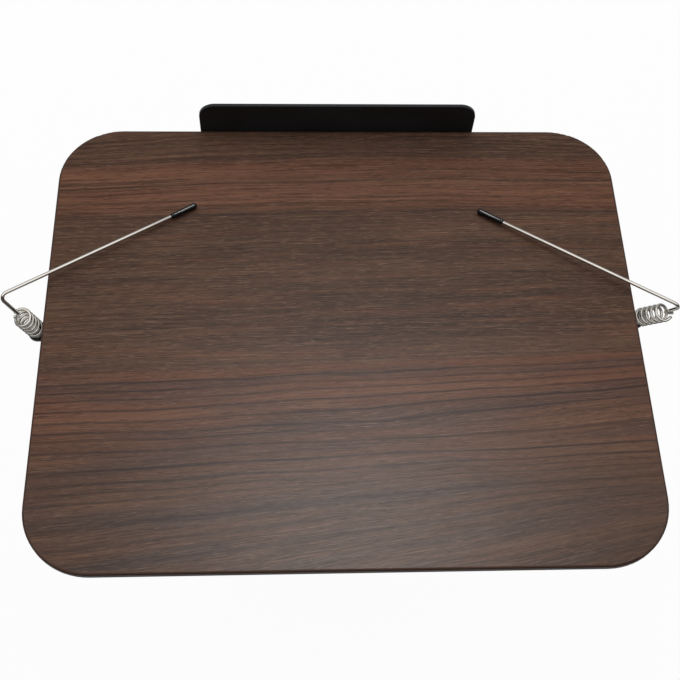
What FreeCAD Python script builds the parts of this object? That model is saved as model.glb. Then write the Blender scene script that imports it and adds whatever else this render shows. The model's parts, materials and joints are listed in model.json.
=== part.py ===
import FreeCAD, Part
import math
import os

# Book stand: a walnut board with a steel ledge and two sprung page clips, on a folding steel stand.
# Millimetres. X runs along the ledge, +Y points to the reader, +Z is up, and the origin lies on the
# table under the middle of the whole stand. The board leans back from the reader.

V = FreeCAD.Vector
X = V(1, 0, 0)
Y = V(0, 1, 0)
Z = V(0, 0, 1)
SIDES = (("left", -1), ("right", 1))

# Fits
touch_gap = 0.3          # between curved or moving pieces that lie on each other
rub_gap = 0.05           # between flat faces that turn on each other
running_fit = 0.05       # radial, round a pin that turns
sleeve_fit = 0.02        # radial, between a pin and the hole that it fills
barrel_fit = 0.1         # radial, between a spring's wire and the barrel inside it

# Making
past = 1.0               # how far a cutting shape runs past the face that it cuts
hair = 0.01              # an edge lies level when its ends are closer in height than this
tiny = 1e-6              # angles and lengths below this count as nothing
gap_samples = 12         # points on each arc where a spring's gap is measured

# Board
board_width = 340.0
board_depth = 282.0
board_corner = 37.0
board_thickness = 5.0
laminate_thickness = 0.8
band_thickness = 1.2
arris = 1.0

# Ledge, bent up from the plate under the board
ledge_width = 171.0
ledge_height = 23.0      # above the board's face
ledge_corner = 10.0
sheet = 2.0
sheet_bend = 1.0         # inside radius of the bend
ledge_gap = 0.4          # between the board's edge and the ledge
plate_reach = 201.0      # from the board's front edge back under the board
plate_corner = 14.0

# How the stand stands
arm_angle = 40.0         # arms above the table
board_tilt = 28.0        # board from level, its ledge side down
arm_length = 240.0       # between the two hinges
hinge_inset = 20.0       # upper hinge, from the board's front edge
hinge_rise = 14.0        # each hinge axis from the plate that carries it

# Base
base_width = 220.0
base_depth = 238.0
base_thickness = 3.0
base_corner = 22.0
base_edge = 0.6          # chamfer round the top
base_heel = 12.0         # from the lower hinge back to the base's rear edge
pad_radius = 10.0
pad_thickness = 3.0
pad_inset = 20.0
pad_edge = 0.6           # round of the lower rim

# Arms
arm_spacing = 156.0      # between the middles of the two bars
arm_height = 22.0
arm_thickness = 4.0
cross_bar_radius = 6.0
cross_bolt_radius = 2.5
cross_hole_depth = 12.0  # in the end of the cross bar
cross_hole_rest = 1.0    # left empty beyond the bolt
cross_head_radius = 5.0
cross_head_height = 2.5
cross_socket_flats = 3.0
cross_socket_depth = 1.4

# Hinge brackets
bracket_sheet = 3.0
bracket_bend = 2.0       # inside radius
bracket_flange = 30.5    # from the ear's outer face inwards
bracket_length = 36.0
bracket_shift = 8.0      # of the flange's middle from the hinge, away from the plate's edge
ear_radius = 10.0
ear_flat = 1.0           # half the flat on top of the ear
ear_corner = 4.0

# Hinge hardware
bolt_radius = 3.0
bolt_head_radius = 6.0
bolt_head_height = 3.4
socket_flats = 4.0
socket_depth = 2.0
friction_washer = 1.5
friction_washer_radius = 9.0
disc_radius = 6.2
disc_thickness = 0.7
disc_cone = 0.3
nut_flats = 10.0
nut_height = 5.5
bolt_tail = 1.5

# Rivets and wood screws
head_edge = 0.25         # straight part of a button head, as a share of its height
rivet_radius = 2.0
rivet_head_radius = 3.8
rivet_head_height = 1.6
rivet_spacing = 20.0
screw_radius = 1.7
screw_head_radius = 3.6
screw_head_height = 1.5
screw_grip = 3.2         # in the board
screw_rows = (62.0, 120.0, 185.0)   # from the board's front edge
screw_spread = 118.0     # between the two columns of board screws

# Clip brackets: Z-bent strips that carry the page clips out past the board's sides
clip_out = 10.0          # clip pivot, out from the board's side
clip_drop = 32.0         # clip seat, below the board's face
strip_width = 12.0
strip_sheet = 2.0
strip_bend = 3.0         # of the middle line
strip_web = 19.0         # from the pivot in to the strip's upright
strip_root = 48.0        # from the pivot in to the strip's inner end
strip_screw_pitch = 12.0
strip_corner = 3.0

# Page clips
pin_radius = 2.5
collar_radius = 5.2
collar_height = 1.0
ring_radius = 4.6
ring_height = 1.0
ring_groove = 0.5
ring_mouth = 2.5         # opening of the retaining ring
pin_tail = 0.8
stem_length = 9.0
rod_radius = 1.05
rod_bend = 3.4
foot_bend = 2.4
coil_radius = 4.85
coil_wire = 1.8
coil_turns = 5
coil_end_angle = 50.0    # how far before the rod's foot the wire ends
tip_length = 17.0
tip_radius = 1.9
tip_flat = 0.38          # radius of the flat on the sleeve's end
tip_wall_end = 2.0

# The clips are fitted and formed by hand, so the two differ a little. clip_back is the pivot's place from
# the board's middle towards the ledge. The other three are measured from the pivot, outwards and towards
# the ledge: the middle of the spring's open end, the corner of the rod, and its rubber end.
clip_back = {"left": 16.5, "right": 22.5}
clip_mouth = {"left": (4.4, -3.5), "right": (10.0, -9.1)}
clip_bend = {"left": (14.2, 0.5), "right": (14.4, -14.7)}
clip_tip = {"left": (-94.1, 66.9), "right": (-96.8, 56.6)}
foot_reach = {"left": 4.2, "right": 6.0}     # from the spring's middle to the cut end of the rod's foot
mouth_drop = 8.0        # below the board's face
bend_rise = 8.5          # above the board's face


# Derived places

board_front = board_depth / 2
plate_underside = -board_thickness - sheet
hinge_y = board_front - hinge_inset
hinge_z = plate_underside - hinge_rise
base_top = pad_thickness + base_thickness
ear_outer = arm_spacing / 2 - arm_thickness / 2 - rub_gap - friction_washer
ear_inner = ear_outer - bracket_sheet
arm_outer = arm_spacing / 2 + arm_thickness / 2
bolt_seat = arm_outer + rub_gap
disc_pair = 2 * (disc_thickness + disc_cone)

tilt = math.radians(board_tilt)
lift = math.radians(arm_angle)


def board_to_stand(y, z):
    """Board frame to a level frame with the same middle."""
    return V(0, y * math.cos(tilt) + z * math.sin(tilt), -y * math.sin(tilt) + z * math.cos(tilt))


upper_from_lower = V(0, arm_length * math.cos(lift), arm_length * math.sin(lift))
board_from_lower = upper_from_lower - board_to_stand(hinge_y, hinge_z)
rear_edge = (board_from_lower + board_to_stand(-board_front, -board_thickness)).y
front_edge = base_depth - base_heel
lower_hinge = V(0, -(rear_edge + front_edge) / 2, base_top + hinge_rise)
upper_hinge = lower_hinge + upper_from_lower
board_middle = lower_hinge + board_from_lower

board_place = FreeCAD.Placement(board_middle, FreeCAD.Rotation(X, -board_tilt))
arm_place = FreeCAD.Placement(lower_hinge, FreeCAD.Rotation(X, arm_angle))
base_place = FreeCAD.Placement(V(0, lower_hinge.y, base_top), FreeCAD.Rotation())


# Shared shapes

def filleted(points, radii, closed=False):
    """Edges of a path through points, with an arc of the given radius at each corner."""
    count = len(points)
    arcs = {}
    first = 0 if closed else 1
    last = count if closed else count - 1
    for i in range(first, last):
        corner = points[i]
        back = (points[i - 1] - corner).normalize()
        ahead = (points[(i + 1) % count] - corner).normalize()
        half = back.getAngle(ahead) / 2
        straight = math.pi / 2 - half < tiny
        if radii[i] <= 0 or straight:
            continue
        reach = radii[i] / math.tan(half)
        middle_way = (back + ahead).normalize()
        middle = corner + middle_way * (radii[i] / math.sin(half) - radii[i])
        arcs[i] = (corner + back * reach, middle, corner + ahead * reach)
    edges = []
    spans = count if closed else count - 1
    for i in range(spans):
        j = (i + 1) % count
        start = arcs[i][2] if i in arcs else points[i]
        end = arcs[j][0] if j in arcs else points[j]
        if start.distanceToPoint(end) > tiny:
            edges.append(Part.LineSegment(start, end).toShape())
        if j in arcs:
            edges.append(Part.Arc(*arcs[j]).toShape())
    return edges


def plate(points, radii, run):
    """A flat outline with round corners, pushed along run."""
    outline = Part.Wire(Part.__sortEdges__(filleted(points, radii, closed=True)))
    return Part.Face(outline).extrude(run)


def rounded_plate(width, low_y, high_y, corner, low_z, high_z):
    half = width / 2
    points = [V(-half, low_y, low_z), V(half, low_y, low_z),
              V(half, high_y, low_z), V(-half, high_y, low_z)]
    return plate(points, [corner] * 4, V(0, 0, high_z - low_z))


def rod_between(start, end, radius):
    run = end - start
    return Part.makeCylinder(radius, run.Length, start, run)


def bent_strip(path, radius, thickness, run):
    """A strip of sheet whose middle line follows path in one plane, pushed along run, square to that plane."""
    across = V(run).normalize()
    sides = []
    for sign in (1, -1):
        points = []
        radii = []
        for i, point in enumerate(path):
            ways = []
            if i > 0:
                ways.append((path[i] - path[i - 1]).normalize())
            if i < len(path) - 1:
                ways.append((path[i + 1] - path[i]).normalize())
            normals = [across.cross(way) for way in ways]
            offset = normals[0]
            bend = 0
            if len(ways) == 2:
                total = normals[0] + normals[1]
                offset = total * (2 / total.dot(total))
                turn = across.dot(ways[0].cross(ways[1]))
                bend = radius - math.copysign(thickness / 2, turn * sign)
            points.append(point + offset * (sign * thickness / 2))
            radii.append(bend)
        sides.append((points, radii))
    points = sides[0][0] + sides[1][0][::-1]
    radii = sides[0][1] + sides[1][1][::-1]
    return plate(points, radii, run)


def tube_along(edges, start, way, radius):
    """A round bar along joined edges that leave start in the direction way."""
    ring = Part.Wire([Part.Circle(start, way, radius).toShape()])
    return Part.Wire(edges).makePipeShell([ring], True, False)


def dome(centre, way, radius, height):
    """A button head: a short edge below a crowned face."""
    edge = height * head_edge
    rim = rod_between(centre, centre + way * edge, radius)
    rise = height - edge
    sphere_radius = (radius ** 2 + rise ** 2) / (2 * rise)
    middle = centre + way * (height - sphere_radius)
    ball = Part.makeSphere(sphere_radius, middle)
    crown = ball.common(rod_between(centre + way * edge, centre + way * (height + past), radius))
    return rim.fuse(crown).removeSplitter()


def hexagon(centre, way, flats, height):
    side = way.cross(V(0, 0, 1)).normalize()
    other = way.cross(side)
    radius = flats / math.sqrt(3)
    corners = []
    for i in range(6):
        angle = math.radians(60 * i)
        corners.append(centre + side * (radius * math.cos(angle)) + other * (radius * math.sin(angle)))
    return Part.Face(Part.makePolygon(corners + corners[:1])).extrude(way * height)


def washer(centre, way, radius, bore, height):
    hole = rod_between(centre - way * past, centre + way * (height + past), bore)
    return rod_between(centre, centre + way * height, radius).cut(hole)


# Board and ledge, in the board's frame: its face is at z = 0, with the ledge at +y

def board_core():
    inset = band_thickness
    return rounded_plate(board_width - 2 * inset, -board_front + inset, board_front - inset,
                         board_corner - inset, -board_thickness, -laminate_thickness)


def board_laminate():
    inset = band_thickness
    return rounded_plate(board_width - 2 * inset, -board_front + inset, board_front - inset,
                         board_corner - inset, -laminate_thickness, 0)


def board_edge_band():
    whole = rounded_plate(board_width, -board_front, board_front, board_corner, -board_thickness, 0)
    rims = [edge for edge in whole.Edges if edge.BoundBox.ZLength < hair]
    whole = whole.makeFillet(arris, rims)
    inset = band_thickness
    room = rounded_plate(board_width - 2 * inset, -board_front + inset, board_front - inset,
                         board_corner - inset, -board_thickness - past, past)
    return whole.cut(room)


def tray_plate():
    ledge_middle = board_front + ledge_gap + sheet / 2
    plate_middle = -board_thickness - sheet / 2
    rear = board_front - plate_reach
    half = ledge_width / 2
    path = [V(-half, rear, plate_middle), V(-half, ledge_middle, plate_middle),
            V(-half, ledge_middle, ledge_height)]
    bent = bent_strip(path, sheet_bend + sheet / 2, sheet, X * ledge_width)
    below = plate_underside - past
    height = ledge_height + past - below
    plan = rounded_plate(ledge_width, rear, ledge_middle + sheet, plate_corner, below, below + height)
    front_room = Part.makeBox(ledge_width, plate_corner + sheet + past, height,
                              V(-half, ledge_middle - plate_corner, below))
    bent = bent.common(plan.fuse(front_room))
    inner = ledge_middle - sheet
    corners = [V(-half, inner, below), V(half, inner, below), V(half, inner, ledge_height),
               V(-half, inner, ledge_height)]
    face = plate(corners, [0, 0, ledge_corner, ledge_corner], Y * (2 * sheet))
    behind = Part.makeBox(ledge_width, plate_reach + past, height,
                          V(-half, inner - plate_reach - past, below))
    bent = bent.common(face.fuse(behind))
    holes = [(place, screw_radius) for place in board_screw_places()]
    holes += [(place, rivet_radius) for place in board_rivet_places()]
    for place, radius in holes:
        bent = bent.cut(rod_between(place - Z * past, place + Z * (sheet + past), radius + sleeve_fit))
    return bent


def board_screw_places():
    places = []
    for side in (-1, 1):
        for row in screw_rows:
            places.append(V(side * screw_spread / 2, board_front - row, plate_underside))
    return places


def wood_screw(place, plates):
    """A screw from below, through plates of the given thickness and into the board."""
    head = dome(place, -Z, screw_head_radius, screw_head_height)
    shank = rod_between(place, place + Z * (plates + screw_grip), screw_radius)
    return head.fuse(shank).removeSplitter()


def board_screws():
    return Part.Compound([wood_screw(place, sheet) for place in board_screw_places()])


def in_board_core(shape):
    """Pilot holes for every wood screw in the board."""
    for place in board_screw_places() + clip_screw_places():
        shape = shape.cut(rod_between(place, V(place.x, place.y, -board_thickness + screw_grip),
                                      screw_radius + sleeve_fit))
    return shape


# Hinge brackets: built with the hinge axis along X, the carrying plate at the given height above it

def hinge_bracket(side, shift):
    """Ear and flange bent from one strip. The flange lies on z = 0 and the axis is hinge_rise above it."""
    middle = bracket_sheet / 2
    top = hinge_rise + ear_radius
    rear = shift - bracket_length / 2
    front = shift + bracket_length / 2
    path = [V(side * (ear_outer - bracket_flange), rear, middle),
            V(side * (ear_outer - middle), rear, middle),
            V(side * (ear_outer - middle), rear, top)]
    bent = bent_strip(path, bracket_bend + middle, bracket_sheet, Y * bracket_length)
    spring_line = bracket_sheet + bracket_bend
    outline = [V(0, rear, 0), V(0, front, 0), V(0, front, spring_line), V(0, ear_radius, top),
               V(0, -ear_radius, top), V(0, rear, spring_line)]
    near_round = ear_radius - ear_flat
    room = plate(outline, [0, 0, ear_corner, near_round, near_round, ear_corner], X * (side * arm_spacing))
    bent = bent.common(room)
    for place in rivet_places(side, shift):
        bent = bent.cut(rod_between(place - Z * past, place + Z * (bracket_sheet + past),
                                    rivet_radius + sleeve_fit))
    axis = V(0, 0, hinge_rise)
    hole = rod_between(axis + X * (side * (ear_inner - past)), axis + X * (side * (ear_outer + past)),
                       bolt_radius + running_fit)
    return bent.cut(hole)


def rivet_places(side, shift):
    x = side * (ear_outer - bracket_flange / 2)
    return [V(x, shift - rivet_spacing / 2, 0), V(x, shift + rivet_spacing / 2, 0)]


def rivet(place, plates):
    """Its flush end fills the far plate, its dome lies on the flange. place is where the two touch."""
    head = dome(place + Z * bracket_sheet, Z, rivet_head_radius, rivet_head_height)
    shank = rod_between(place - Z * plates, place + Z * bracket_sheet, rivet_radius)
    return head.fuse(shank).removeSplitter()


def bracket_rivets(side, shift, plates):
    return [rivet(place, plates) for place in rivet_places(side, shift)]


def hinge_bolt(side):
    axis = V(0, 0, hinge_rise)
    way = X * side
    inner = ear_inner - disc_pair - nut_height - bolt_tail
    shank = rod_between(axis + way * inner, axis + way * bolt_seat, bolt_radius)
    head = dome(axis + way * bolt_seat, way, bolt_head_radius, bolt_head_height)
    top = bolt_seat + bolt_head_height
    socket = hexagon(axis + way * (top - socket_depth), way, socket_flats, socket_depth + past)
    return shank.fuse(head).removeSplitter().cut(socket)


def hinge_washer(side):
    start = V(side * ear_outer, 0, hinge_rise)
    return washer(start, X * side, friction_washer_radius, bolt_radius + running_fit, friction_washer)


def disc(start, way, flip):
    """One conical spring disc from start along way, its wide end first, or last when flipped."""
    bore = bolt_radius + running_fit
    near_lift = 0 if flip else disc_cone
    far_lift = disc_cone if flip else 0
    section = [start + way * near_lift + Z * bore, start + way * far_lift + Z * disc_radius,
               start + way * (far_lift + disc_thickness) + Z * disc_radius,
               start + way * (near_lift + disc_thickness) + Z * bore]
    return Part.Face(Part.makePolygon(section + section[:1])).revolve(start, way, 360)


def hinge_discs(side):
    way = X * side
    start = V(side * ear_inner, 0, hinge_rise)
    height = disc_thickness + disc_cone
    return [disc(start - way * height, way, True), disc(start - way * (2 * height), way, False)]


def hinge_nut(side):
    way = X * side
    start = V(side * (ear_inner - disc_pair - nut_height), 0, hinge_rise)
    nut = hexagon(start, way, nut_flats, nut_height)
    return nut.cut(rod_between(start - way * past, start + way * (nut_height + past), bolt_radius))


def both_sides(maker):
    pieces = []
    for _, side in SIDES:
        made = maker(side)
        pieces.extend(made if isinstance(made, list) else [made])
    return Part.Compound(pieces)


# The upper brackets hang from the plate under the board, so their frame is turned over

def hang(shape):
    over = FreeCAD.Placement(V(0, hinge_y, plate_underside), FreeCAD.Rotation(Y, 180))
    return shape.transformed(over.toMatrix(), True)


def board_rivet_places():
    places = []
    for _, side in SIDES:
        for place in rivet_places(side, -bracket_shift):
            places.append(V(place.x, hinge_y + place.y, plate_underside))
    return places


def board_bracket(side):
    return hang(hinge_bracket(-side, -bracket_shift))


def board_bracket_rivets():
    return hang(both_sides(lambda side: bracket_rivets(side, -bracket_shift, sheet)))


# Base, in a frame that lies on the base plate's top with the lower hinge above its origin

def base_plate():
    slab = rounded_plate(base_width, -base_heel, base_depth - base_heel, base_corner, -base_thickness, 0)
    rims = [edge for edge in slab.Edges if edge.BoundBox.ZMin > -hair]
    slab = slab.makeChamfer(base_edge, rims)
    for _, side in SIDES:
        for place in rivet_places(side, bracket_shift):
            slab = slab.cut(rod_between(place - Z * (base_thickness + past), place + Z * past,
                                        rivet_radius + sleeve_fit))
    return slab


def base_bracket(side):
    return hinge_bracket(side, bracket_shift)


def base_bracket_rivets():
    return both_sides(lambda side: bracket_rivets(side, bracket_shift, base_thickness))


def base_pads():
    pads = []
    for side in (-1, 1):
        for y in (-base_heel + pad_inset, base_depth - base_heel - pad_inset):
            place = V(side * (base_width / 2 - pad_inset), y, -base_thickness)
            pad = rod_between(place, place - Z * pad_thickness, pad_radius)
            rims = [edge for edge in pad.Edges if edge.BoundBox.ZMax < place.z - hair]
            pads.append(pad.makeFillet(pad_edge, rims))
    return Part.Compound(pads)


# Arms, in a frame with the lower hinge at its origin and the arms along +y

def through_arm(place, side, radius):
    way = X * side
    return rod_between(place - way * past, place + way * (arm_thickness + past), radius)


def arm(side):
    start = V(side * (arm_spacing / 2 - arm_thickness / 2), 0, 0)
    half = arm_height / 2
    outline = [start + V(0, -half, -half), start + V(0, arm_length + half, -half),
               start + V(0, arm_length + half, half), start + V(0, -half, half)]
    bar = plate(outline, [half - sleeve_fit] * 4, X * (side * arm_thickness))
    for y in (0, arm_length):
        bar = bar.cut(through_arm(start + V(0, y, 0), side, bolt_radius + running_fit))
    return bar.cut(through_arm(start + V(0, arm_length / 2, 0), side, cross_bolt_radius + sleeve_fit))


def arm_cross_bar():
    half = arm_spacing / 2 - arm_thickness / 2
    middle = V(0, arm_length / 2, 0)
    bar = rod_between(middle - X * half, middle + X * half, cross_bar_radius)
    for _, side in SIDES:
        way = X * side
        end = middle + way * half
        bar = bar.cut(rod_between(end + way * past, end - way * cross_hole_depth, cross_bolt_radius))
    return bar


def cross_bar_bolt(side):
    way = X * side
    seat = V(side * arm_outer, arm_length / 2, 0)
    length = arm_thickness + cross_hole_depth - cross_hole_rest
    shank = rod_between(seat - way * length, seat, cross_bolt_radius)
    head = dome(seat, way, cross_head_radius, cross_head_height)
    socket = hexagon(seat + way * (cross_head_height - cross_socket_depth), way, cross_socket_flats,
                     cross_socket_depth + past)
    return shank.fuse(head).removeSplitter().cut(socket)


# Page clips, in the board's frame

def clip_pivot(name, side):
    return V(side * (board_width / 2 + clip_out), clip_back[name], -clip_drop)


def clip_screw_places():
    places = []
    for name, side in SIDES:
        pivot = clip_pivot(name, side)
        inner = pivot.x - side * (strip_root - strip_width / 2)
        for x in (inner, inner + side * strip_screw_pitch):
            places.append(V(x, pivot.y, -board_thickness - strip_sheet))
    return places


def clip_bracket(name, side):
    pivot = clip_pivot(name, side)
    upper = -board_thickness - strip_sheet / 2
    lower = pivot.z - strip_sheet / 2
    rear = pivot.y - strip_width / 2
    root = pivot.x - side * strip_root
    web = pivot.x - side * strip_web
    end = pivot.x + side * strip_width / 2
    path = [V(root, rear, upper), V(web, rear, upper), V(web, rear, lower), V(end, rear, lower)]
    bent = bent_strip(path, strip_bend, strip_sheet, Y * strip_width)
    half = strip_width / 2
    below = pivot.z - strip_sheet - past
    outline = [V(root, pivot.y - half, below), V(end, pivot.y - half, below),
               V(end, pivot.y + half, below), V(root, pivot.y + half, below)]
    near_round = half - sleeve_fit
    bent = bent.common(plate(outline, [strip_corner, near_round, near_round, strip_corner], Z * clip_drop))
    bent = bent.cut(rod_between(pivot - Z * (strip_sheet + past), pivot + Z * past,
                                pin_radius + running_fit))
    for place in clip_screw_places():
        if place.x * side > 0:
            bent = bent.cut(rod_between(place - Z * past, place + Z * (strip_sheet + past),
                                        screw_radius + sleeve_fit))
    return bent


def clip_bracket_screws():
    return Part.Compound([wood_screw(place, strip_sheet) for place in clip_screw_places()])


def clip_point(name, side, places, height):
    """A point of the clip, height above the board's face."""
    pivot = clip_pivot(name, side)
    out, back = places[name]
    return V(pivot.x + side * out, pivot.y + back, height)


def mouth_point(name, side):
    return clip_point(name, side, clip_mouth, -mouth_drop)


def bend_point(name, side):
    return clip_point(name, side, clip_bend, bend_rise)


def tip_point(name, side):
    """The rubber tip rests on the board."""
    return clip_point(name, side, clip_tip, tip_radius + touch_gap)


def clip_axis(name, side):
    """The spring leans from its seat to its mouth."""
    return (mouth_point(name, side) - clip_pivot(name, side)).normalize()


def clip_stem(name, side):
    """A pin that turns in the bracket, its collar lying on it, and a leaning barrel in the spring's foot."""
    pivot = clip_pivot(name, side)
    axis = clip_axis(name, side)
    groove = ring_place(name, side)
    foot = pivot + Z * rub_gap
    pin = rod_between(groove - Z * pin_tail, foot, pin_radius)
    collar = rod_between(foot, foot + Z * collar_height, collar_radius)
    barrel_radius = coil_radius - coil_wire / 2 - barrel_fit
    barrel = rod_between(pivot - axis * barrel_radius, pivot + axis * stem_length, barrel_radius)
    room = 8 * coil_radius
    below = Part.makeBox(room, room, room, pivot - V(room / 2, room / 2, room - collar_height / 2))
    stem = pin.fuse(collar).fuse(barrel.cut(below)).removeSplitter()
    return stem.cut(washer(groove, Z, pin_radius + past, pin_radius - ring_groove, ring_height))


def ring_place(name, side):
    """The middle of the retaining ring's lower face."""
    return clip_pivot(name, side) - Z * (strip_sheet + rub_gap + ring_height)


def clip_ring(name, side):
    """The retaining ring in the pin's groove, under the bracket."""
    start = ring_place(name, side)
    ring = washer(start, Z, ring_radius, pin_radius - ring_groove + sleeve_fit, ring_height)
    mouth = Part.makeBox(ring_radius + past, ring_mouth, ring_height, start - Y * (ring_mouth / 2))
    return ring.cut(mouth)


def spring_frame(name, side):
    """Seat, axis, the outboard way square to it, and the third way."""
    axis = clip_axis(name, side)
    out = X * side
    out = (out - axis * out.dot(axis)).normalize()
    return clip_pivot(name, side), axis, out, axis.cross(out)


def spring_heights(name, side):
    """Where the wire's middle starts and ends along the spring's axis."""
    seat, axis, _, _ = spring_frame(name, side)
    lean = axis.getAngle(Z)
    clear = rub_gap + collar_height + touch_gap + coil_wire / 2
    low = (clear + coil_radius * math.sin(lean)) / math.cos(lean)
    return low, (mouth_point(name, side) - seat).Length


def spring_point(name, side, turn):
    """Point and direction of the wire's middle, turn counted from the mouth down as a negative number."""
    seat, axis, out, third = spring_frame(name, side)
    low, high = spring_heights(name, side)
    pitch = (high - low) / coil_turns
    angle = 2 * math.pi * turn - math.radians(coil_end_angle)
    radial = out * math.cos(angle) + third * math.sin(angle)
    along = third * math.cos(angle) - out * math.sin(angle)
    point = seat + axis * (high + turn * pitch) + radial * coil_radius
    way = along * (2 * math.pi * coil_radius) + axis * pitch
    return point, way.normalize()


def arc_to(start, tangent_corner, end):
    """The arc from start to end whose tangents meet at tangent_corner."""
    chord_middle = (start + end) * 0.5
    half_chord = (end - start).Length / 2
    rise = (tangent_corner - chord_middle).Length
    half_turn = math.atan2(rise, half_chord)
    radius = half_chord / math.sin(half_turn)
    sagitta = radius * (1 - math.cos(half_turn))
    middle = chord_middle + (tangent_corner - chord_middle).normalize() * sagitta
    return Part.Arc(start, middle, end).toShape()


def biarc(start, start_way, end, end_way):
    """Two arcs that leave start and reach end in the given directions."""
    span = end - start
    ways = start_way + end_way
    spread = 2 * (1 - start_way.dot(end_way))
    along = span.dot(ways)
    reach = (-along + math.sqrt(along ** 2 + spread * span.dot(span))) / spread
    first_corner = start + start_way * reach
    second_corner = end - end_way * reach
    joint = (first_corner + second_corner) * 0.5
    return [arc_to(start, first_corner, joint), arc_to(joint, second_corner, end)]


def page_spring(name, side):
    """One wire: half turns of two arcs each, with a straight end of one wire's width at both ends."""
    point, way = spring_point(name, side, -coil_turns)
    start = point - way * coil_wire
    edges = [Part.LineSegment(start, point).toShape()]
    for step in range(2 * coil_turns):
        near = spring_point(name, side, -coil_turns + step / 2)
        far = spring_point(name, side, -coil_turns + (step + 1) / 2)
        edges.extend(biarc(near[0], near[1], far[0], far[1]))
    top, top_way = spring_point(name, side, 0)
    edges.append(Part.LineSegment(top, top + top_way * coil_wire).toShape())
    print(name, "page spring, least gap to itself:", round(least_gap(edges), 2))
    return tube_along(edges, start, way, coil_wire / 2)


def least_gap(edges):
    """Smallest gap between stretches of the wire that lie more than half a turn apart."""
    points = []
    places = []
    travelled = 0.0
    for edge in edges:
        for point in edge.discretize(gap_samples + 1)[:-1]:
            if points:
                travelled += point.distanceToPoint(points[-1])
            points.append(point)
            places.append(travelled)
    half_turn = math.pi * coil_radius
    least = math.inf
    for i, point in enumerate(points):
        for j in range(i + 1, len(points)):
            if places[j] - places[i] > half_turn:
                least = min(least, point.distanceToPoint(points[j]))
    return least - coil_wire


def page_rod(name, side):
    """A wire whose foot lies across the spring's mouth, then stands up, bends and runs to the tip."""
    _, _, out, _ = spring_frame(name, side)
    mouth = mouth_point(name, side)
    bend = bend_point(name, side)
    tip = tip_point(name, side)
    end = tip - (tip - bend).normalize() * tip_wall_end
    foot = mouth + out * foot_reach[name]
    edges = filleted([foot, mouth, bend, end], [0, foot_bend, rod_bend, 0])
    return tube_along(edges, foot, out * -1, rod_radius)


def rod_tip(name, side):
    end = tip_point(name, side)
    way = (end - bend_point(name, side)).normalize()
    start = end - way * tip_length
    sleeve = rod_between(start, end, tip_radius)
    far_rim = [edge for edge in sleeve.Edges if edge.CenterOfMass.distanceToPoint(end) < tip_radius]
    sleeve = sleeve.makeFillet(tip_radius - tip_flat, far_rim)
    return sleeve.cut(rod_between(start - way * past, end - way * tip_wall_end, rod_radius + sleeve_fit))


# The whole stand

def board_nodes():
    nodes = {
        "board_core": in_board_core(board_core()),
        "board_laminate": board_laminate(),
        "board_edge_band": board_edge_band(),
        "tray_plate": tray_plate(),
        "board_screws": board_screws(),
        "board_bracket_rivets": board_bracket_rivets(),
        "board_hinge_bolts": hang(both_sides(hinge_bolt)),
        "board_hinge_washers": hang(both_sides(hinge_washer)),
        "board_hinge_discs": hang(both_sides(hinge_discs)),
        "board_hinge_nuts": hang(both_sides(hinge_nut)),
        "clip_bracket_screws": clip_bracket_screws(),
    }
    for name, side in SIDES:
        nodes[name + "_board_bracket"] = board_bracket(side)
        nodes[name + "_clip_bracket"] = clip_bracket(name, side)
        nodes[name + "_clip_stem"] = clip_stem(name, side)
        nodes[name + "_clip_ring"] = clip_ring(name, side)
        nodes[name + "_page_spring"] = page_spring(name, side)
        nodes[name + "_page_rod"] = page_rod(name, side)
        nodes[name + "_rod_tip"] = rod_tip(name, side)
    return nodes


def base_nodes():
    nodes = {
        "base_plate": base_plate(),
        "base_pads": base_pads(),
        "base_bracket_rivets": base_bracket_rivets(),
        "base_hinge_bolts": both_sides(hinge_bolt),
        "base_hinge_washers": both_sides(hinge_washer),
        "base_hinge_discs": both_sides(hinge_discs),
        "base_hinge_nuts": both_sides(hinge_nut),
    }
    for name, side in SIDES:
        nodes[name + "_base_bracket"] = base_bracket(side)
    return nodes


def arm_nodes():
    nodes = {"arm_cross_bar": arm_cross_bar(), "cross_bar_bolts": both_sides(cross_bar_bolt)}
    for name, side in SIDES:
        nodes[name + "_arm"] = arm(side)
    return nodes


def main():
    os.makedirs("parts", exist_ok=True)
    groups = ((board_nodes(), board_place), (base_nodes(), base_place), (arm_nodes(), arm_place))
    for nodes, place in groups:
        for name, shape in nodes.items():
            shape.transformed(place.toMatrix(), True).exportStep("parts/" + name + ".step")
    print("lower hinge", lower_hinge)
    print("upper hinge", upper_hinge)
    print("board middle", board_middle)


main()
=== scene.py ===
import bpy
import bmesh
import json
import math
from mathutils import Matrix, Vector


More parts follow.
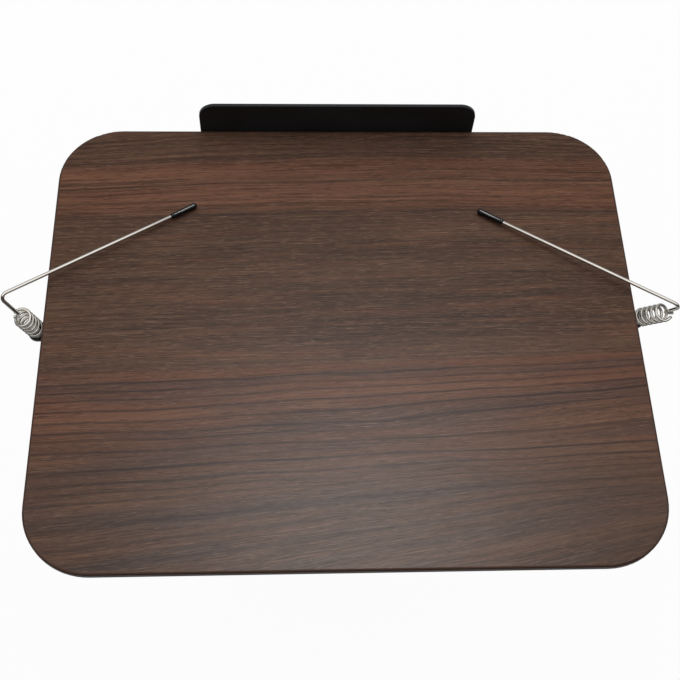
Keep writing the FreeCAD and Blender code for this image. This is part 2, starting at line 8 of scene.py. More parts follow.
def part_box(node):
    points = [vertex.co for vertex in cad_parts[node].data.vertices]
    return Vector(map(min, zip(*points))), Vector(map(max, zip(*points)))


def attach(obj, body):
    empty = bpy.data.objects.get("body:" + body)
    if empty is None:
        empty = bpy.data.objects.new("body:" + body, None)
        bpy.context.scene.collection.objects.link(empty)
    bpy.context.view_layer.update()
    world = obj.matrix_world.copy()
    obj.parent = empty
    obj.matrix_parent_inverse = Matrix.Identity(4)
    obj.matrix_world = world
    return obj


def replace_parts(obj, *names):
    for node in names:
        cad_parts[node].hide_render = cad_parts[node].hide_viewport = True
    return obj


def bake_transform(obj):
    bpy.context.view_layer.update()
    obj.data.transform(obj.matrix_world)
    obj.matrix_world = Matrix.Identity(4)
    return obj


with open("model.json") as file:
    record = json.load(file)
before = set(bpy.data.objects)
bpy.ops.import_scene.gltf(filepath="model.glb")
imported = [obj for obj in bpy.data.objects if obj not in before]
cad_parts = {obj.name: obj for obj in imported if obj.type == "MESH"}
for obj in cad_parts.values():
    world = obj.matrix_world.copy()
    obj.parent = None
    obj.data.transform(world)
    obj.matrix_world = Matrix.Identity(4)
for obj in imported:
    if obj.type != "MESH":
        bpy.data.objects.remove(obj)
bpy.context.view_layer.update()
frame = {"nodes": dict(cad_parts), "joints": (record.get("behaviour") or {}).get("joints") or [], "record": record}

# Book stand: a walnut board with a black steel ledge and two sprung page clips, on a folding steel stand.
# Metres, in the stand's own frame. Sizes that are written in millimetres are turned into metres by mm.

mm = 0.001
X = Vector((1, 0, 0))
Z = Vector((0, 0, 1))
SIDES = (("left", -1), ("right", 1))
joints = {joint["name"]: joint for joint in frame["joints"]}
nodes = frame["nodes"]


# The board's own frame: its middle, the way across it, the way to the ledge and the way out of its face

laminate_thickness = 0.8 * mm
face_way = Vector(joints["right_clip_swing"]["axis"]).normalized()
ledge_way = face_way.cross(X)
laminate_low, laminate_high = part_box("board_laminate")
board_middle = (laminate_low + laminate_high) / 2 + face_way * (laminate_thickness / 2)
board_tilt = math.atan2(-ledge_way.z, ledge_way.y)


def on_board(across, to_ledge, above):
    """A point given in millimetres from the middle of the board's face."""
    return board_middle + (X * across + ledge_way * to_ledge + face_way * above) * mm


# Page clips, as in the stand's construction: millimetres from each clip's pivot, outwards and to the ledge

clip_back = {"left": 16.5, "right": 22.5}     # pivot, from the board's middle to the ledge
clip_mouth = {"left": (4.4, -3.5), "right": (10.0, -9.1)}
clip_bend = {"left": (14.2, 0.5), "right": (14.4, -14.7)}
clip_tip = {"left": (-94.1, 66.9), "right": (-96.8, 56.6)}
clip_reach = 180.0       # pivot, from the board's middle outwards
clip_drop = 32.0         # pivot, below the board's face
mouth_drop = 8.0         # top of the spring, below the board's face
bend_rise = 8.5          # rod's bend, above the board's face
tip_height = 2.2         # sleeve's end, above the board's face
rod_radius = 1.05
rod_bend = 3.4
foot_bend = 2.4
foot_reach = {"left": 4.2, "right": 6.0}      # from the spring's middle to the cut end of the rod's foot
coil_radius = 4.85
coil_wire = 1.8
coil_turns = 5
coil_end_angle = 50.0    # how far before the rod's foot the wire ends
collar_top = 1.05        # top of the pivot's collar, above the pivot's place
collar_gap = 0.3         # between the collar and the spring's lowest turn
tip_length = 17.0
tip_radius = 1.9
tip_wall_end = 2.0       # rubber beyond the end of the rod


def clip_point(name, side, place, above):
    """A point of a clip, from its place outwards and to the ledge, and its height above the board's face."""
    out, to_ledge = place
    return on_board(side * (clip_reach + out), clip_back[name] + to_ledge, above)


class Clip:
    """The places of one page clip."""

    def __init__(self, name, side):
        self.name = name
        self.pivot = clip_point(name, side, (0, 0), -clip_drop)
        self.mouth = clip_point(name, side, clip_mouth[name], -mouth_drop)
        self.bend = clip_point(name, side, clip_bend[name], bend_rise)
        self.tip = clip_point(name, side, clip_tip[name], tip_height)
        self.axis = (self.mouth - self.pivot).normalized()
        out = X * side
        self.out = (out - self.axis * out.dot(self.axis)).normalized()
        self.third = self.axis.cross(self.out)
        self.rod_way = (self.tip - self.bend).normalized()


clips = [Clip(name, side) for name, side in SIDES]


# Mesh helpers

near_one = 0.9           # a unit vector lies near an axis when its part along it is above this
# Rings that round a wire's cut end: the share of its size that each keeps, and its step along, in wire radii
cut_rings = ((0.93, 0.10), (0.80, 0.05))


def finish_piece(bm, name, material, body):
    """Makes the piece's object, with its faces outwards and its place in its mesh."""
    bmesh.ops.recalc_face_normals(bm, faces=bm.faces)
    for face in bm.faces:
        face.smooth = True
    mesh = bpy.data.meshes.new(name)
    bm.to_mesh(mesh)
    bm.free()
    piece = bpy.data.objects.new(name, mesh)
    bpy.context.scene.collection.objects.link(piece)
    mesh.materials.append(material)
    if body:
        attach(piece, body)
    return piece


def frame_along(place, way):
    """A matrix at place whose z runs along way and whose x lies near X, or near Z where way is near X."""
    way = way.normalized()
    side = X if abs(way.x) < near_one else Z
    across = (side - way * side.dot(way)).normalized()
    other = way.cross(across)
    matrix = Matrix((across, other, way)).transposed().to_4x4()
    matrix.translation = place
    return matrix


def start_ring(bm, place, way, radius, sides):
    """Makes the first ring of edges of a wire that starts at place and goes along way."""
    made = bmesh.ops.create_circle(bm, cap_ends=False, radius=radius, segments=sides,
                                   matrix=frame_along(place, way))
    return ring_edges(made["verts"])


def ring_edges(verts):
    wanted = set(verts)
    return list({edge for vert in verts for edge in vert.link_edges if set(edge.verts) <= wanted})


def ring_verts(edges):
    return list({vert for edge in edges for vert in edge.verts})


def push(bm, edges, run):
    """Draws a ring of edges out along run and gives the new ring."""
    made = bmesh.ops.extrude_edge_only(bm, edges=edges)["geom"]
    verts = [item for item in made if isinstance(item, bmesh.types.BMVert)]
    bmesh.ops.translate(bm, verts=verts, vec=run)
    return ring_edges(verts)


def turn(bm, edges, centre, axis, angle, steps, climb=Vector((0, 0, 0))):
    """Draws a ring of edges round an axis, climbing by climb on the way, and gives the last ring."""
    verts = ring_verts(edges)
    made = bmesh.ops.spin(bm, geom=verts + edges, cent=centre, axis=axis, dvec=climb / steps, angle=angle,
                          steps=steps, use_merge=False, use_duplicate=False)["geom_last"]
    return ring_edges([item for item in made if isinstance(item, bmesh.types.BMVert)])


def shrink(bm, edges, share):
    """Scales a ring of edges about its own middle."""
    verts = ring_verts(edges)
    centre = sum((vert.co for vert in verts), Vector()) / len(verts)
    bmesh.ops.scale(bm, verts=verts, vec=(share, share, share), space=Matrix.Translation(-centre))


def cut_end(bm, edges, way, radius):
    """Closes a wire with a slightly rounded cut end."""
    for share, step in cut_rings:
        edges = push(bm, edges, way * (radius * step))
        shrink(bm, edges, share)
    bmesh.ops.contextual_create(bm, geom=edges)


def swept_wire(bm, points, radii, radius, sides, arc_steps):
    """A round wire through points, with an arc of the given radius at each inner one."""
    first_way = (points[1] - points[0]).normalized()
    edges = start_ring(bm, points[0], first_way, radius, sides)
    cut_end(bm, edges, -first_way, radius)
    here = points[0]
    for back, corner, ahead, bend in zip(points, points[1:], points[2:], radii):
        way = (corner - back).normalized()
        next_way = (ahead - corner).normalized()
        angle = way.angle(next_way)
        reach = bend * math.tan(angle / 2)
        arc_start = corner - way * reach
        edges = push(bm, edges, arc_start - here)
        axis = way.cross(next_way).normalized()
        centre = arc_start + axis.cross(way) * bend
        edges = turn(bm, edges, centre, axis, angle, arc_steps)
        here = corner + next_way * reach
    edges = push(bm, edges, points[-1] - here)
    cut_end(bm, edges, (points[-1] - here).normalized(), radius)


# Page clip pieces

wire_sides = 24
coil_steps = 44          # rings in each turn of a spring
bend_steps = 14          # rings in each bend of a rod
sleeve_sides = 40
nose_steps = 8           # rings in a sleeve's round nose
sleeve_bore = rod_radius + 0.02
# A sleeve's outline from inside its mouth, round the lip and on to its nose: place along it and radius
sleeve_outline = (
    (0.9, sleeve_bore), (0.15, sleeve_bore), (0.0, sleeve_bore + 0.25), (0.0, 1.55), (0.18, 1.72),
    (0.9, 1.76), (1.15, 1.7), (1.35, 1.58), (1.9, 1.55), (6.0, 1.6), (12.0, 1.72), (14.2, 1.84),
    (15.2, 1.88),
)
merge_reach = 0.001      # corners that lie closer than this are one


def page_spring(clip, material):
    """An open coil from the pivot up to the rod's foot, with a short straight piece at each end."""
    bm = bmesh.new()
    lean = clip.axis.angle(face_way)
    low = (collar_top + collar_gap + coil_wire / 2 + coil_radius * math.sin(lean)) / math.cos(lean) * mm
    high = (clip.mouth - clip.pivot).length
    angle = -math.radians(coil_end_angle)
    radial = clip.out * math.cos(angle) + clip.third * math.sin(angle)
    along = clip.third * math.cos(angle) - clip.out * math.sin(angle)
    climb = high - low
    way = (along * (2 * math.pi * coil_radius * mm) + clip.axis * (climb / coil_turns)).normalized()
    radius = coil_wire / 2 * mm
    place = clip.pivot + clip.axis * low + radial * (coil_radius * mm)
    first = start_ring(bm, place, way, radius, wire_sides)
    last = turn(bm, first, clip.pivot, clip.axis, 2 * math.pi * coil_turns, coil_steps * coil_turns,
                clip.axis * climb)
    for edges, out_way in ((first, -way), (last, way)):
        end = push(bm, edges, out_way * (coil_wire * mm))
        cut_end(bm, end, out_way, radius)
    piece = finish_piece(bm, clip.name + "_clip_coil", material, None)
    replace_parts(piece, clip.name + "_page_spring")
    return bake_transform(piece)


def page_rod(clip, material):
    """A wire from its foot in the spring, up to its bend and in over the page."""
    bm = bmesh.new()
    end = clip.tip - clip.rod_way * (tip_wall_end * mm)
    foot = clip.mouth + clip.out * (foot_reach[clip.name] * mm)
    swept_wire(bm, [foot, clip.mouth, clip.bend, end], [foot_bend * mm, rod_bend * mm], rod_radius * mm,
               wire_sides, bend_steps)
    piece = finish_piece(bm, clip.name + "_clip_wire", material, clip.name + "_rod")
    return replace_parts(piece, clip.name + "_page_rod")


def rod_tip(clip, material):
    """A dipped rubber sleeve: a lip where it was cut, a slim middle and a round nose."""
    bm = bmesh.new()
    start = clip.tip - clip.rod_way * (tip_length * mm)
    outline = list(sleeve_outline)
    nose_start = tip_length - tip_radius
    for step in range(1, nose_steps):
        angle = math.pi / 2 * step / nose_steps
        outline.append((nose_start + tip_radius * math.sin(angle), tip_radius * math.cos(angle)))
    outline.append((tip_length, 0.0))
    side = frame_along(start, clip.rod_way).col[0].to_3d()
    verts = [bm.verts.new(start + (clip.rod_way * along + side * out) * mm) for along, out in outline]
    edges = [bm.edges.new(pair) for pair in zip(verts, verts[1:])]
    bmesh.ops.spin(bm, geom=verts + edges, cent=start, axis=clip.rod_way, angle=2 * math.pi,
                   steps=sleeve_sides, use_merge=True, use_duplicate=False)
    bmesh.ops.remove_doubles(bm, verts=bm.verts, dist=merge_reach * mm)
    piece = finish_piece(bm, clip.name + "_tip_sleeve", material, clip.name + "_rod")
    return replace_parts(piece, clip.name + "_rod_tip")


# Materials

noise_range = (0.3, 0.7) # nearly all of a noise lies between these


class ShaderTree:
    """A shader's nodes, added one by one. An input that is a socket is linked, and any other is set."""

    def __init__(self, tree):
        self.tree = tree

    def put(self, socket, value):
        if isinstance(value, bpy.types.NodeSocket):
            self.tree.links.new(value, socket)
        else:
            socket.default_value = value

    def add(self, kind, inputs=None, **settings):
        node = self.tree.nodes.new("ShaderNode" + kind)
        for name, value in settings.items():
            setattr(node, name, value)
        for name, value in (inputs or {}).items():
            self.put(node.inputs[name], value)
        return node

    def maths(self, operation, first, second=0.0, third=0.0):
        return self.add("Math", {0: first, 1: second, 2: third}, operation=operation).outputs[0]

    def between(self, value, low, high, to_low=0.0, to_high=1.0):
        """Maps value from the first range to the second, with soft ends."""
        node = self.add("MapRange", {"Value": value, "From Min": low, "From Max": high, "To Min": to_low,
                                     "To Max": to_high}, interpolation_type="SMOOTHSTEP")
        return node.outputs["Result"]

    def by_noise(self, noise, to_low=0.0, to_high=1.0):
        """A value from to_low to to_high, by a noise's usual range."""
        return self.between(noise, *noise_range, to_low, to_high)

    def straight(self, value, low, high, to_low=0.0, to_high=1.0):
        """Maps value from the first range to the second, in a straight line that goes on past both ends."""
        node = self.add("MapRange", {"Value": value, "From Min": low, "From Max": high, "To Min": to_low,
                                     "To Max": to_high}, clamp=False)
        return node.outputs["Result"]

    def mix(self, share, first, second):
        """Mixes two colours, by the share of the second."""
        node = self.add("Mix", {0: share, 6: first, 7: second}, data_type="RGBA")
        return node.outputs[2]

    def noise(self, place, scale, detail=2.0, roughness=0.5):
        node = self.add("TexNoise", {"Vector": place, "Scale": scale, "Detail": detail,
                                     "Roughness": roughness})
        return node.outputs["Fac"]

    def stretched(self, place, scale, location=(0, 0, 0), rotation=(0, 0, 0)):
        node = self.add("Mapping", {"Vector": place, "Scale": scale, "Location": location,
                                    "Rotation": rotation})
        return node.outputs["Vector"]

    def place(self):
        """A point's place in the stand's own frame."""
        return self.add("TexCoord").outputs["Object"]

    def bump(self, height, strength, distance, **more):
        node = self.add("Bump", {"Height": height, "Strength": strength, "Distance": distance, **more})
        return node.outputs["Normal"]

    def reflections(self, paths):
        """One where a surface is seen in a reflection or through a clear piece, and nothing elsewhere."""
        return self.maths("MAXIMUM", paths["Is Glossy Ray"], paths["Is Transmission Ray"])


class Recipe(ShaderTree):
    """One material."""

    def __init__(self, name):
        self.material = bpy.data.materials.new(name)
        self.material.use_nodes = True
        super().__init__(self.material.node_tree)
        self.shader = self.tree.nodes["Principled BSDF"]

    def shade(self, **inputs):
        """Sets the shader's inputs, with a low line for each space in their names, and gives the material."""
        for name, value in inputs.items():
            self.put(self.shader.inputs[name.replace("_", " ")], value)
        return self.material


def colour(red, green, blue):
    """A screen's colour, from 0 to 255, as linear light by the usual curve."""
    def light(part):
        part = part / 255
        return part / 12.92 if part <= 0.04045 else ((part + 0.055) / 1.055) ** 2.4
    return (light(red), light(green), light(blue), 1.0)


def board_place(recipe):
    """Millimetres in the board's own frame: x across, y to the ledge, z out of the face."""
    turned = Matrix.Rotation(board_tilt, 3, "X")
    back = -(turned @ board_middle) / mm
    return recipe.stretched(recipe.place(), (1 / mm, 1 / mm, 1 / mm), back, (board_tilt, 0, 0))


# The laminate's printed grain, in millimetres. A grain line is named by its depth: how far below the bright
# band it starts at the board's left side. From there it climbs to the right and bows up on the way.

half_width = 170.0
half_depth = 141.0
band_at = -30.0          # the bright band, at the board's left side
# Place up the board, and the climb and the bow of a grain line there
sweep = (
    (-141.0, 60.0, -36.0), (-118.0, 50.0, -30.0), (-105.0, 44.0, -20.0), (-90.0, 26.0, -6.0),
    (-78.0, 19.0, -4.0), (-65.0, 16.5, -9.0), (-45.0, 21.0, -10.5), (-28.0, 17.0, -9.0), (-15.0, 11.0, 0.0),
    (5.0, 8.7, 7.5), (20.0, 10.0, 8.0), (35.0, 8.7, 9.0), (78.0, 5.8, 11.0), (98.0, 6.5, 13.0),
    (120.0, 7.0, 20.0), (141.0, 7.0, 22.0),
)
sweep_low = -64.0        # least and most that a climb or a bow can be
sweep_high = 64.0
line_fall = 1.3          # a growth line's lower half width, over its upper one
row_shear = 0.32         # how far each row of streaks is set off from the last, in streak lengths
growth_strength = 0.95
wobble_scale = (0.012, 0.035, 0.0)    # waves in a millimetre, across the board and up it
wobble_reach = 1.2       # how far the grain wanders up and down
# The darker middle of the print and its lower part, by the depths over which each comes in or goes out
middle_comes = (-108.0, -96.0)
middle_goes = (-4.0, 2.0)
lower_comes = (-6.0, 4.0)
# Growth lines: depth, upper half width and darkness
growth_lines = (
    (-149.0, 0.8, 0.35), (-144.0, 1.0, 0.45), (-126.0, 0.9, 0.35), (-121.0, 0.8, 0.35), (-115.0, 0.8, 0.35),
    (-104.0, 1.0, 0.45), (-96.0, 0.7, 0.25), (-76.0, 0.8, 0.25), (-59.0, 0.9, 0.35), (-42.5, 1.0, 0.4),
    (-28.8, 0.9, 0.35), (-20.0, 0.9, 0.25), (-5.0, 0.8, 0.35), (-1.8, 0.7, 0.35),
    (5.3, 0.8, 0.75), (10.5, 0.8, 0.75), (15.7, 0.8, 0.75), (21.8, 0.9, 0.85), (28.4, 0.9, 0.85),
    (34.5, 0.9, 0.75), (39.1, 0.8, 0.60), (46.0, 1.1, 0.65), (57.0, 1.2, 0.90), (65.1, 0.9, 0.75),
    (70.3, 0.9, 0.50), (75.7, 0.9, 0.55), (88.5, 1.9, 0.55), (99.7, 1.8, 0.55), (110.0, 1.6, 0.40),
)
# Depths where the print turns reddish, and how much
red_bands = (
    (-150.0, 0.15), (-142.0, 0.25), (-134.0, 0.95), (-126.0, 0.60), (-120.0, 1.0), (-108.0, 0.80),
    (-101.0, 0.10), (-70.0, 0.05), (-30.0, 0.10), (-4.0, 0.15), (0.0, 1.0), (3.8, 1.0), (5.3, 0.70),
    (12.0, 1.0), (24.0, 0.9), (34.0, 0.65), (46.0, 0.5), (57.0, 0.4), (66.0, 0.3), (76.0, 0.15),
)
line_span = 180.0        # depth on both sides of the bright band that the reddish bands' curve covers
# The growth lines' curves each cover a short span of depth, which keeps their narrow lines sharp
line_spans = ((-160.0, -110.0), (-110.0, -55.0), (-55.0, 0.0), (0.0, 32.0), (32.0, 72.0), (72.0, 120.0))


def sweep_curve(recipe, up, column):
    """Climb or bow of the grain lines, by place up the board."""
    node = recipe.add("FloatCurve", {"Value": recipe.straight(up, -half_depth, half_depth)})
    curve = node.mapping.curves[0]
    for place, row in enumerate(sweep):
        at = (row[0] + half_depth) / (2 * half_depth)
        share = (row[column] - sweep_low) / (sweep_high - sweep_low)
        if row in (sweep[0], sweep[-1]):
            curve.points[min(place, 1)].location = (at, share)
        else:
            curve.points.new(at, share)
    node.mapping.update()
    return recipe.straight(node.outputs["Value"], 0.0, 1.0, sweep_low, sweep_high)


def grain_depth(recipe, place):
    """A point's depth, in millimetres."""
    parts = recipe.add("SeparateXYZ", {"Vector": place}).outputs
    wobble = recipe.noise(recipe.stretched(place, wobble_scale), scale=1.0, detail=1.0)
    off = recipe.straight(wobble, 0.25, 0.75, -wobble_reach, wobble_reach)
    up = recipe.maths("ADD", parts["Y"], off)
    share = recipe.straight(parts["X"], -half_width, half_width)
    bow_share = recipe.maths("MULTIPLY", share, recipe.maths("SUBTRACT", 1.0, share))
    climb = recipe.maths("MULTIPLY", share, sweep_curve(recipe, up, 1))
    bow = recipe.maths("MULTIPLY", bow_share, sweep_curve(recipe, up, 2))
    start = recipe.maths("SUBTRACT", up, recipe.maths("ADD", climb, bow))
    return recipe.maths("SUBTRACT", band_at, start)


def depth_curve(recipe, depth, points, low, high, handle="AUTO"):
    """A value by depth, from a list of depths and values. It is nothing at low and at high."""
    node = recipe.add("FloatCurve", {"Value": recipe.straight(depth, low, high)})
    curve = node.mapping.curves[0]
    curve.points[0].location = (0.0, 0.0)
    curve.points[1].location = (1.0, 0.0)
    for at, value in points:
        point = curve.points.new((at - low) / (high - low), value)
        point.handle_type = handle
    node.mapping.update()
    return node.outputs["Value"]


def growth_line_curve(recipe, depth):
    """Darkness of the growth lines: a quick rise and a slower fall at each."""
    total = 0.0
    for low, high in line_spans:
        points = []
        for at, half, dark in growth_lines:
            if low < at < high:
                points += [(at - half, 0.0), (at, dark), (at + line_fall * half, 0.0)]
        total = recipe.maths("ADD", depth_curve(recipe, depth, points, low, high, "VECTOR"), total)
    return total


def walnut_laminate():
    """Brown and reddish bands, with streaks, fibres, pores and growth lines laid over them."""
    r = Recipe("walnut_laminate")
    place = board_place(r)
    depth = grain_depth(r, place)
    across = r.add("SeparateXYZ", {"Vector": place}).outputs["X"]

    def streaks(along, over, seed, detail, roughness):
        """Streaks with the grain: how many in a millimetre along it and over it, and a seed of their own."""
        down = r.maths("ADD", r.maths("MULTIPLY", depth, over), seed)
        sideways = r.maths("ADD", r.maths("MULTIPLY", across, along), r.maths("MULTIPLY", down, row_shear))
        spot = r.add("CombineXYZ", {"X": sideways, "Y": down}).outputs[0]
        return r.noise(spot, 1.0, detail, roughness)

    broad = streaks(along=0.0025, over=0.055, seed=0, detail=3.0, roughness=0.55)
    lines = streaks(along=0.004, over=0.60, seed=3, detail=4.0, roughness=0.65)
    fibres = streaks(along=0.028, over=1.6, seed=9, detail=4.0, roughness=0.65)
    dashes = streaks(along=0.14, over=2.2, seed=2, detail=2.0, roughness=0.5)
    pores = streaks(along=0.13, over=2.1, seed=6, detail=2.0, roughness=0.5)
    warm = streaks(along=0.012, over=0.16, seed=20, detail=3.0, roughness=0.6)
    clouds = streaks(along=0.007, over=0.075, seed=12, detail=1.0, roughness=0.5)
    fading = streaks(along=0.010, over=0.09, seed=5, detail=1.0, roughness=0.5)

    # The growth lines fade a little here and there
    fade = r.between(fading, 0.32, 0.62, to_low=0.65, to_high=1.0)
    growth = r.maths("MULTIPLY", growth_line_curve(r, depth), fade)
    red_share = depth_curve(r, depth, red_bands, -line_span, line_span)
    pale_share = r.between(broad, 0.36, 0.66)
    brown = r.mix(pale_share, colour(70, 50, 38), colour(86, 62, 47))
    red = r.mix(pale_share, colour(92, 57, 40), colour(106, 69, 50))
    base = r.mix(red_share, brown, red)
    # The middle of the print is darker, with short fibres, and the lower part has broad dull clouds
    middle_ends = r.between(depth, *middle_goes, to_low=1.0, to_high=0.0)
    middle_area = r.maths("MULTIPLY", r.between(depth, *middle_comes), middle_ends)
    lower_area = r.between(depth, *lower_comes)

    def strength(elsewhere, middle, lower):
        """A strength by area: elsewhere, in the middle of the print and in its lower part."""
        in_middle = r.maths("MULTIPLY", middle_area, middle - elsewhere)
        in_lower = r.maths("MULTIPLY", lower_area, lower - elsewhere)
        return r.maths("ADD", r.maths("ADD", in_middle, in_lower), elsewhere)

    def tint(base, share, most, tone):
        """Lays a tone over the colours, by a share that most holds down."""
        return r.mix(r.maths("MULTIPLY", share, most), base, tone)

    base = tint(base, middle_area, 0.05, colour(20, 14, 11))
    # A layer's streaks, the values at which it starts and is full, its strength in each area, and its tone
    layers = (
        (warm, (0.50, 0.66), (0.15, 0.45, 0.20), colour(104, 64, 46)),
        (clouds, (0.47, 0.60), (0.0, 0.0, 0.4), colour(60, 48, 46)),
        (lines, (0.53, 0.34), (0.60, 0.30, 0.20), colour(34, 24, 19)),
        (lines, (0.55, 0.68), (0.35, 0.20, 0.20), colour(112, 82, 64)),
        (fibres, (0.47, 0.36), (0.66, 0.60, 0.44), colour(33, 23, 18)),
        (fibres, (0.53, 0.66), (0.46, 0.48, 0.38), colour(122, 92, 75)),
        (dashes, (0.57, 0.70), (0.42, 0.56, 0.42), colour(132, 104, 86)),
        (pores, (0.43, 0.30), (0.70, 0.80, 0.66), colour(24, 16, 12)),
    )
    for kind, (starts, full), areas, tone in layers:
        base = tint(base, r.between(kind, starts, full), strength(*areas), tone)
    base = tint(base, growth, growth_strength, colour(27, 20, 20))

    hollows = r.between(pores, 0.42, 0.32, to_low=1.0, to_high=0.0)
    height = r.maths("ADD", hollows, r.maths("MULTIPLY", fibres, 0.5))
    return r.shade(Base_Color=base, Roughness=r.by_noise(fibres, 0.38, 0.33), Specular_IOR_Level=0.065,
                   Normal=r.bump(height, strength=0.25, distance=0.03 * mm))


def edge_band():
    """Dark brown band with faint streaks round the edge."""
    r = Recipe("edge_band")
    place = board_place(r)
    streaks = r.noise(r.stretched(place, (0.02, 0.02, 3.0)), scale=1.0, detail=4.0, roughness=0.6)
    specks = r.noise(place, scale=3.0, detail=2.0)
    base = r.mix(streaks, colour(46, 31, 25), colour(74, 50, 38))
    return r.shade(Base_Color=base, Roughness=r.by_noise(specks, 0.36, 0.46), Specular_IOR_Level=0.2,
                   Normal=r.bump(streaks, strength=0.15, distance=0.05 * mm))


def board_substrate():
    """Dull dark sheet under the board, with a faint grain."""
    r = Recipe("board_substrate")
    place = r.place()
    grain = r.noise(r.stretched(place, (60, 900, 900)), scale=1.0, detail=3.0)
    mottle = r.noise(place, scale=45.0, detail=3.0)
    base = r.mix(mottle, colour(36, 31, 28), colour(52, 45, 40))
    base = r.mix(r.between(grain, 0.55, 0.7, to_low=0.0, to_high=0.5), base, colour(66, 57, 50))
    return r.shade(Base_Color=base, Roughness=0.62, Normal=r.bump(grain, strength=0.2, distance=0.05 * mm))


def powder_coat(name, dark, pale):
    """Fine orange peel, a slight change of tone from place to place, and soft edges."""
    r = Recipe(name)
    place = r.place()
    peel = r.noise(place, scale=1500.0, detail=2.0, roughness=0.6)
    fine = r.noise(place, scale=5200.0, detail=1.0)
    cloud = r.noise(place, scale=28.0, detail=3.0)
    base = r.mix(r.by_noise(cloud), dark, pale)
    height = r.maths("ADD", peel, r.maths("MULTIPLY", fine, 0.35))
    soft = r.add("Bevel", {"Radius": 0.35 * mm}, samples=4).outputs["Normal"]
    normal = r.bump(height, strength=0.35, distance=0.06 * mm, Normal=soft)
    return r.shade(Base_Color=base, Roughness=r.by_noise(cloud, 0.50, 0.60), Specular_IOR_Level=0.4,
                   Normal=normal)


def black_oxide():
    """Blackened steel with a dull metal sheen."""
    r = Recipe("black_fasteners")
    place = r.place()
    cloud = r.noise(place, scale=400.0, detail=3.0)
    base = r.mix(cloud, colour(24, 24, 26), colour(44, 43, 43))
    return r.shade(Base_Color=base, Metallic=0.75, Roughness=r.by_noise(cloud, 0.32, 0.48),
                   Normal=r.bump(cloud, strength=0.1, distance=0.02 * mm))


def zinc_plate():
    """Bright plate, cloudy here and there."""
    r = Recipe("zinc_steel")
    place = r.place()
    cloud = r.noise(place, scale=500.0, detail=4.0)
    base = r.mix(cloud, colour(176, 178, 180), colour(212, 212, 208))
    return r.shade(Base_Color=base, Metallic=1.0, Roughness=r.by_noise(cloud, 0.22, 0.4),
                   Normal=r.bump(cloud, strength=0.08, distance=0.02 * mm))


def wire(name, tone, edge, rough_low, rough_high):
    """Bright plated wire with fine drawing marks, and a painted dark reflection toward its outline where it turns
    away from the view.
    """
    r = Recipe(name)
    place = r.place()
    marks = r.noise(place, scale=900.0, detail=2.0)
    cloud = r.noise(place, scale=120.0, detail=2.0)
    base = r.mix(r.between(cloud, 0.4, 0.8, to_low=0.0, to_high=0.3), tone, colour(168, 165, 160))
    # Painted dark reflection: toward the wire's outline as seen, its colour goes over to the edge tone, standing
    # for the dark surroundings that it mirrors
    painted_outline_shade = r.add("LayerWeight", {"Blend": 0.5}).outputs["Facing"]
    base = r.mix(r.between(painted_outline_shade, 0.25, 0.70), base, edge)
    return r.shade(Base_Color=base, Metallic=1.0, Roughness=r.by_noise(marks, rough_low, rough_high),
                   Normal=r.bump(marks, strength=0.02, distance=0.003 * mm))


def rubber(name, tone, rough_low, rough_high):
    """Smooth rubber with faint ripples and specks of dust."""
    r = Recipe(name)
    place = r.place()
    ripple = r.noise(place, scale=150.0, detail=1.0)
    dust = r.noise(place, scale=3000.0, detail=2.0)
    base = r.mix(r.between(dust, 0.6, 0.8, to_low=0.0, to_high=0.25), tone, colour(70, 70, 72))
    return r.shade(Base_Color=base, Roughness=r.by_noise(ripple, rough_low, rough_high),
                   Specular_IOR_Level=0.25, Normal=r.bump(ripple, strength=0.03, distance=0.02 * mm))


def nylon():
    """Dull black nylon."""
    r = Recipe("washer_nylon")
    place = r.place()
    cloud = r.noise(place, scale=300.0, detail=2.0)
    base = r.mix(cloud, colour(26, 26, 27), colour(40, 40, 41))
    return r.shade(Base_Color=base, Roughness=r.by_noise(cloud, 0.4, 0.5),
                   Normal=r.bump(cloud, strength=0.08, distance=0.02 * mm))


materials = {
    "walnut_laminate": walnut_laminate(),
    "board_substrate": board_substrate(),
    "edge_band": edge_band(),
    "black_steel": powder_coat("black_steel", colour(25, 27, 29), colour(32, 34, 36)),
    "clip_strip": powder_coat("clip_strip", colour(20, 20, 21), colour(27, 27, 28)),
    "black_fasteners": black_oxide(),
    "zinc_steel": zinc_plate(),
    "washer_nylon": nylon(),
    # Each wire's second colour is the tone of its painted dark reflection at the outline
    "chrome_wire": wire("chrome_wire", colour(240, 235, 226), colour(120, 114, 106), 0.05, 0.08),
    "spring_wire": wire("spring_wire", colour(236, 231, 221), colour(56, 51, 46), 0.06, 0.09),
    "black_rubber": rubber("black_rubber", colour(9, 9, 11), 0.28, 0.38),
    "silicone": rubber("silicone", colour(30, 30, 31), 0.5, 0.6),
}

for part in frame["record"]["subparts"]:
    for slot in nodes[part["node"]].material_slots:
        slot.material = materials[part["material_slot"]]

sleeves = []
for clip in clips:
    page_spring(clip, materials["spring_wire"])
    page_rod(clip, materials["chrome_wire"])
    sleeves.append(rod_tip(clip, materials["black_rubber"]))


# Floor, light and camera

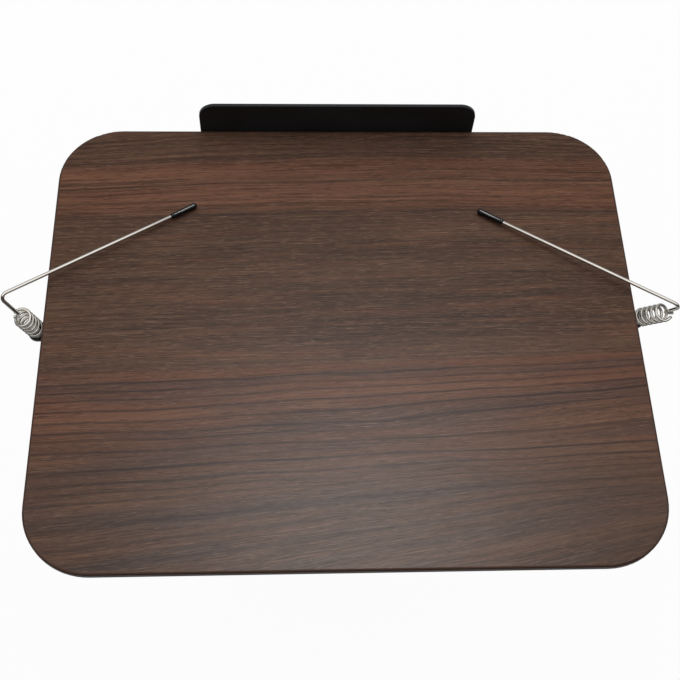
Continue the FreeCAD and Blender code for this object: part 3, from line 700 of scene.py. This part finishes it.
white = (1, 1, 1, 1)
floor_reach = 12.0
floor_sides = 64
floor_colour = (0.94, 0.94, 0.94, 1.0)
floor_own_share = 0.04   # of the floor's own light and shade in what the camera sees
floor_seen = 0.6         # how bright the floor near the stand is in reflections
floor_dims = (0.22, 0.50)    # how far out it starts to dim, and where it is as dim as the room
sky_on_object = 0.17     # plain light on the stand from all round
sky_towards_ledge = 1.60 # added to it, low on the ledge's side
light_fades = (0.45, 0.75)   # heights between which the added light goes out, on a unit sphere
room_edge_seen = 0.06    # the dim room low down all round, in reflections
ledge_side_seen = 0.45   # the same, straight out on the ledge's side
room_fades = (0.32, 0.60)    # heights between which the dim room turns white, on a unit sphere
sheen_lamp = {"place": (0.08, 0.90, 1.30), "width": 0.48, "height": 0.30, "watts": 29.0}
wide_lamp = {"place": (0.0, 0.75, 1.35), "width": 2.0, "height": 1.3, "watts": 15.0}
sensor_width = 36.0
lens = 58.0
camera_place = (-0.0317, -0.0120, 0.8725)
camera_turn = (-0.079, -2.710, -0.390)    # degrees from straight down


def white_floor():
    """Pale floor. It is seen white but for the stand's faint shadow, and dimmer in reflections."""
    bpy.ops.mesh.primitive_circle_add(vertices=floor_sides, radius=floor_reach, fill_type="NGON",
                                      location=(0, 0, 0))
    floor = bpy.context.object
    floor.name = "floor"
    r = Recipe("floor")
    paths = r.add("LightPath").outputs
    distance = r.add("VectorMath", {0: r.place()}, operation="LENGTH").outputs["Value"]
    lit = r.between(distance, *floor_dims, floor_seen, room_edge_seen)
    mirrored = r.maths("MULTIPLY", r.reflections(paths), lit)
    seen = r.maths("MAXIMUM", paths["Is Camera Ray"], mirrored)
    own = r.add("BsdfDiffuse", {"Color": floor_colour}).outputs[0]
    glow = r.add("Emission", {"Color": white, "Strength": 1.0}).outputs[0]
    share = r.maths("MULTIPLY", seen, 1.0 - floor_own_share)
    mixed = r.add("MixShader", {0: share, 1: own, 2: glow}).outputs[0]
    r.tree.nodes.remove(r.shader)
    r.put(r.tree.nodes["Material Output"].inputs["Surface"], mixed)
    floor.data.materials.append(r.material)


def studio_sky():
    """White where it is seen past the floor, and in reflections but for a dim room low down."""
    world = bpy.data.worlds.new("sky")
    world.use_nodes = True
    bpy.context.scene.world = world
    r = ShaderTree(world.node_tree)
    paths = r.add("LightPath").outputs
    generated = r.add("TexCoord").outputs["Generated"]
    way = r.add("SeparateXYZ", {"Vector": generated}).outputs
    ledge_side = r.maths("MAXIMUM", way["Y"], 0.0)
    far_side = r.maths("MINIMUM", way["Y"], 0.0)
    # In reflections the room's dim part reaches higher on the side away from the ledge
    low_down = r.straight(ledge_side, 0.0, 1.0, room_edge_seen, ledge_side_seen)
    height = r.between(r.maths("ADD", way["Z"], far_side), *room_fades)
    reflected = r.maths("MULTIPLY_ADD", height, r.maths("SUBTRACT", 1.0, low_down), low_down)
    # On the stand itself falls a plain light, stronger low on the ledge's side
    low_down_light = r.between(way["Z"], *light_fades, to_low=1.0, to_high=0.0)
    low_ledge_side = r.maths("MULTIPLY", r.maths("POWER", ledge_side, 2.0), low_down_light)
    plain = r.straight(low_ledge_side, 0.0, 1.0, sky_on_object, sky_on_object + sky_towards_ledge)
    strength = r.maths("MULTIPLY_ADD", r.reflections(paths), r.maths("SUBTRACT", reflected, plain), plain)
    strength = r.maths("MAXIMUM", strength, paths["Is Camera Ray"])
    sky = r.tree.nodes["Background"]
    r.put(sky.inputs["Color"], white)
    r.put(sky.inputs["Strength"], strength)


def soft_lamp(name, place, width, height, watts, gloss_only=False):
    """A flat lamp that points at the board's middle. It shows in reflections only, or in all but those."""
    data = bpy.data.lights.new(name, "AREA")
    data.shape = "RECTANGLE"
    data.size = width
    data.size_y = height
    data.energy = watts
    lamp = bpy.data.objects.new(name, data)
    bpy.context.scene.collection.objects.link(lamp)
    lamp.matrix_world = frame_along(Vector(place), Vector(place) - board_middle)
    lamp.visible_diffuse = not gloss_only
    lamp.visible_glossy = gloss_only
    return lamp


def light_only(lamp, pieces):
    """Keeps a lamp's light to the given pieces."""
    lit = bpy.data.collections.new(lamp.name + "_pieces")
    for piece in pieces:
        lit.objects.link(piece)
    lamp.light_linking.receiver_collection = lit


def camera_above():
    """Looks down from almost straight above the board's middle."""
    data = bpy.data.cameras.new("camera")
    data.sensor_width = sensor_width
    data.lens = lens
    camera = bpy.data.objects.new("camera", data)
    bpy.context.scene.collection.objects.link(camera)
    camera.location = camera_place
    camera.rotation_euler = [math.radians(angle) for angle in camera_turn]
    bpy.context.scene.camera = camera


white_floor()
studio_sky()
camera_above()
sheen = soft_lamp("front_softbox", gloss_only=True, **sheen_lamp)
light_only(sheen, [nodes["board_laminate"]] + sleeves)
soft_lamp("wide_softbox", **wide_lamp)
bpy.context.scene.view_settings.view_transform = "Standard"
